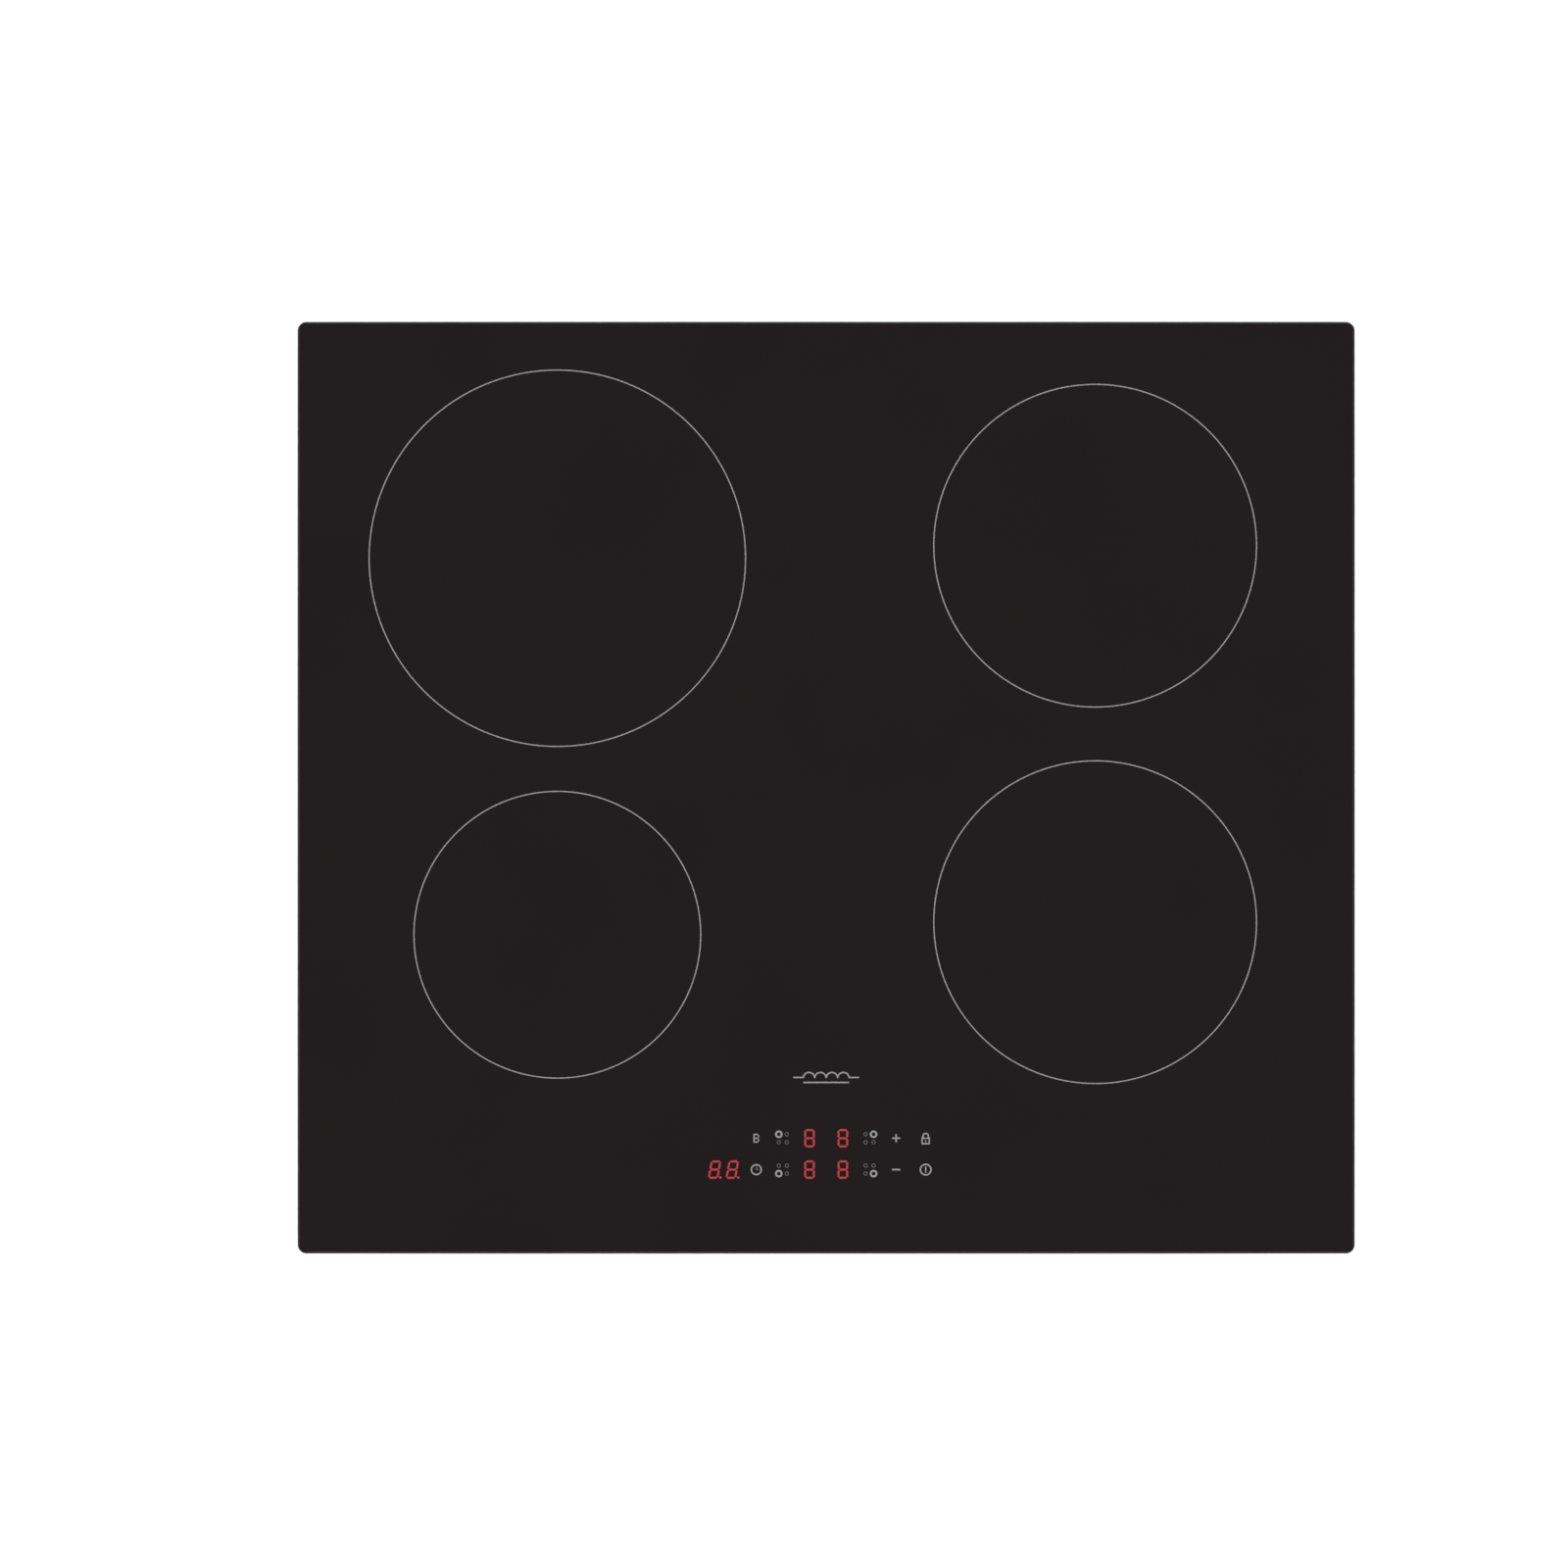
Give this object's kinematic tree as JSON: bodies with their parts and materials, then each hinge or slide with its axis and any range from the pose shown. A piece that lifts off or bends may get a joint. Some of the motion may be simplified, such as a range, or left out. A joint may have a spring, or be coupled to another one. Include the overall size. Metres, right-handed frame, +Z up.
{
  "type": "electric induction cooktop",
  "caption": "Built-in induction cooktop: a bevelled black glass with printed cooking zones and touch controls over a vented steel tray with sprung coils, blowers and side springs.",
  "frame": {"origin": "centre of the glass on the worktop plane, which is the underside of the foam seal", "axes": "+X to the right, +Y to the rear, away from the controls, +Z up out of the glass; -Z is the way the seal faces the worktop"},
  "size_m": [0.59, 0.52, 0.0601],
  "materials": {
    "ceramic_glass": "polished black glass-ceramic",
    "grey_print": "satin enamel print",
    "red_light": "lit from within",
    "seal_foam": "matt closed-cell foam",
    "adhesive": "matt silicone",
    "galvanised_steel": "satin with a fine zinc spangle",
    "spring_steel": "bright",
    "zinc_screws": "bright zinc",
    "black_plastic": "matt, fine grain",
    "white_plastic": "satin",
    "brass_parts": "satin",
    "bushing_plastic": "satin",
    "circuit_board": "satin solder mask",
    "cast_aluminium": "satin extruded",
    "board_parts": "mixed parts",
    "fan_plastic": "satin",
    "sheet_aluminium": "mill finish",
    "display_plastic": "matt",
    "wire_sleeve": "satin",
    "carrier_plastic": "matt, glass-filled",
    "copper_litz": "lacquered copper",
    "ferrite": "matt sintered",
    "mica": "flaky satin",
    "sensor_ceramic": "matt"
  },
  "bodies": {
    "base": {"glass_panel": "ceramic_glass", "zone_rings": "grey_print", "control_icons": "grey_print", "display_segments": "red_light", "worktop_seal": "seal_foam", "glass_adhesive": "adhesive", "base_tray": "galvanised_steel", "clip_plates": "spring_steel", "case_screws": "zinc_screws", "terminal_box": "black_plastic", "terminal_cover": "black_plastic", "terminal_block": "white_plastic", "terminal_screws": "brass_parts", "cable_bushing": "bushing_plastic", "board_carriers": "white_plastic", "power_board_left": "circuit_board", "power_board_right": "circuit_board", "heatsink_left": "cast_aluminium", "heatsink_right": "cast_aluminium", "power_parts_left": "board_parts", "power_parts_right": "board_parts", "fan_housing_left": "black_plastic", "fan_housing_right": "black_plastic", "coil_plate_left": "sheet_aluminium", "coil_plate_right": "sheet_aluminium", "chassis_screws": "zinc_screws", "filter_board": "circuit_board", "filter_parts": "board_parts", "touch_carrier": "white_plastic", "touch_board": "circuit_board", "display_modules": "display_plastic", "touch_springs": "spring_steel", "coil_springs": "spring_steel", "wiring": "wire_sleeve"},
    "fan_left": {"fan_rotor_left": "fan_plastic"},
    "fan_right": {"fan_rotor_right": "fan_plastic"},
    "spring_front_left": {"clip_leaf_front_left": "spring_steel"},
    "spring_front_right": {"clip_leaf_front_right": "spring_steel"},
    "spring_rear_left": {"clip_leaf_rear_left": "spring_steel"},
    "spring_rear_right": {"clip_leaf_rear_right": "spring_steel"},
    "coil_rear_left": {"coil_carrier_rear_left": "carrier_plastic", "coil_winding_rear_left": "copper_litz", "ferrites_rear_left": "ferrite", "mica_disc_rear_left": "mica", "heat_sensor_rear_left": "sensor_ceramic"},
    "coil_rear_right": {"coil_carrier_rear_right": "carrier_plastic", "coil_winding_rear_right": "copper_litz", "ferrites_rear_right": "ferrite", "mica_disc_rear_right": "mica", "heat_sensor_rear_right": "sensor_ceramic"},
    "coil_front_right": {"coil_carrier_front_right": "carrier_plastic", "coil_winding_front_right": "copper_litz", "ferrites_front_right": "ferrite", "mica_disc_front_right": "mica", "heat_sensor_front_right": "sensor_ceramic"},
    "coil_front_left": {"coil_carrier_front_left": "carrier_plastic", "coil_winding_front_left": "copper_litz", "ferrites_front_left": "ferrite", "mica_disc_front_left": "mica", "heat_sensor_front_left": "sensor_ceramic"}
  },
  "joints": [
    {"name": "fan_spin_left", "type": "hinge", "parent": "base", "child": "fan_left", "pos_m": [-0.1501, 0.1892, -0.041], "axis": [0, 0, 1], "continuous": true},
    {"name": "fan_spin_right", "type": "hinge", "parent": "base", "child": "fan_right", "pos_m": [0.1501, 0.1892, -0.041], "axis": [0, 0, 1], "continuous": true},
    {"name": "coil_float_rear_left", "type": "slide", "parent": "base", "child": "coil_rear_left", "axis": [0, 0, 1], "range_m": [-0.003, 0], "stiffness_N_per_m": 2000, "springref_m": 0.006, "deforming": ["coil_springs"]},
    {"name": "coil_float_rear_right", "type": "slide", "parent": "base", "child": "coil_rear_right", "axis": [0, 0, 1], "range_m": [-0.003, 0], "stiffness_N_per_m": 2000, "springref_m": 0.006, "deforming": ["coil_springs"]},
    {"name": "coil_float_front_right", "type": "slide", "parent": "base", "child": "coil_front_right", "axis": [0, 0, 1], "range_m": [-0.003, 0], "stiffness_N_per_m": 2000, "springref_m": 0.006, "deforming": ["coil_springs"]},
    {"name": "coil_float_front_left", "type": "slide", "parent": "base", "child": "coil_front_left", "axis": [0, 0, 1], "range_m": [-0.003, 0], "stiffness_N_per_m": 2000, "springref_m": 0.006, "deforming": ["coil_springs"]},
    {"name": "spring_flex_front_left", "type": "hinge", "parent": "base", "child": "spring_front_left", "pos_m": [-0.2755, -0.149, -0.044], "axis": [0, 1, 0], "range_deg": [0, 7], "stiffness_Nm_per_rad": 3},
    {"name": "spring_flex_front_right", "type": "hinge", "parent": "base", "child": "spring_front_right", "pos_m": [0.2755, -0.149, -0.044], "axis": [0, -1, 0], "range_deg": [0, 7], "stiffness_Nm_per_rad": 3},
    {"name": "spring_flex_rear_left", "type": "hinge", "parent": "base", "child": "spring_rear_left", "pos_m": [-0.2755, 0.149, -0.044], "axis": [0, 1, 0], "range_deg": [0, 7], "stiffness_Nm_per_rad": 3},
    {"name": "spring_flex_rear_right", "type": "hinge", "parent": "base", "child": "spring_rear_right", "pos_m": [0.2755, 0.149, -0.044], "axis": [0, -1, 0], "range_deg": [0, 7], "stiffness_Nm_per_rad": 3}
  ]
}
